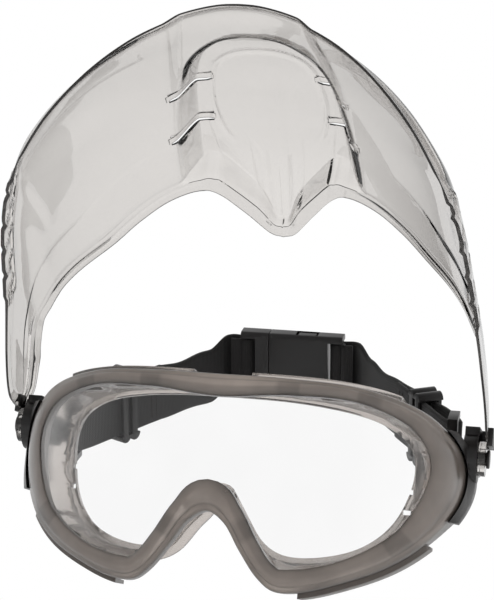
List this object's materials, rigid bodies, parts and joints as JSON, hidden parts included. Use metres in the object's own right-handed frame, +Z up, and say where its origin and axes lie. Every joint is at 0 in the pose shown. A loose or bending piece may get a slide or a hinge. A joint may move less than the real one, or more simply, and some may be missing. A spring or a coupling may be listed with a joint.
{
  "type": "face shield",
  "caption": "Clear flip-up face shield on soft safety goggles with an elastic head strap, shown with the shield raised.",
  "frame": {"origin": "midway between the shield's two pivots, which is also the middle of the head mount", "axes": "+Z up, -Y the front of the goggles, +X the wearer's left; the wearer's head is on the +Y side"},
  "size_m": [0.1926, 0.2138, 0.2085],
  "materials": {
    "smoke_frame": "satin translucent smoke grey-brown",
    "clear_lens": "polished clear",
    "clear_seal": "soft clear, slightly smoky",
    "clear_shield": "polished clear with a light smoke tint",
    "black_plastic": "fine moulded grain",
    "black_elastic": "woven elastic webbing"
  },
  "bodies": {
    "goggles": {"goggle_frame": "smoke_frame", "lens": "clear_lens", "face_seal": "clear_seal", "top_vent_cover_left": "clear_seal", "top_vent_cover_right": "clear_seal", "bottom_vent_cover_left": "smoke_frame", "bottom_vent_cover_right": "smoke_frame", "outrigger_left": "black_plastic", "outrigger_right": "black_plastic", "shield_pin_left": "black_plastic", "shield_pin_right": "black_plastic", "strap_pin_left": "black_plastic", "strap_pin_right": "black_plastic"},
    "shield": {"shield": "clear_shield"},
    "strap": {"strap_left": "black_elastic", "strap_right": "black_elastic", "strap_clip_left": "black_plastic", "strap_clip_right": "black_plastic", "buckle_socket": "black_plastic", "buckle_plug": "black_plastic"},
    "slider_left": {"slider_left": "black_plastic"},
    "slider_right": {"slider_right": "black_plastic"},
    "prong_upper": {"buckle_prong_upper": "black_plastic"},
    "prong_lower": {"buckle_prong_lower": "black_plastic"}
  },
  "joints": [
    {"name": "shield_flip", "type": "hinge", "parent": "goggles", "child": "shield", "pos_m": [0, 0, 0], "axis": [-1, 0, 0], "range_deg": [-125, 0]},
    {"name": "strap_tilt", "type": "hinge", "parent": "goggles", "child": "strap", "pos_m": [0, 0.014, 0], "axis": [1, 0, 0], "range_deg": [-49, 16]},
    {"name": "slider_left_slide", "type": "slide", "parent": "strap", "child": "slider_left", "axis": [-0.5196, 0.7613, 0.3879], "range_m": [-0.008, 0.012]},
    {"name": "slider_right_slide", "type": "slide", "parent": "strap", "child": "slider_right", "axis": [0.4758, 0.7837, 0.3993], "range_m": [-0.008, 0.012]},
    {"name": "prong_upper_squeeze", "type": "hinge", "parent": "strap", "child": "prong_upper", "pos_m": [-0.0159, 0.09811, 0.0552], "axis": [0, 0.891, 0.454], "range_deg": [0, 11], "stiffness_Nm_per_rad": 0.5},
    {"name": "prong_lower_squeeze", "type": "hinge", "parent": "strap", "child": "prong_lower", "pos_m": [-0.0159, 0.10809, 0.0356], "axis": [0, 0.891, 0.454], "range_deg": [-11, 0], "stiffness_Nm_per_rad": 0.5}
  ],
  "couplings": [
    {"joint": "prong_lower_squeeze", "follows": "prong_upper_squeeze", "ratio": -1}
  ]
}
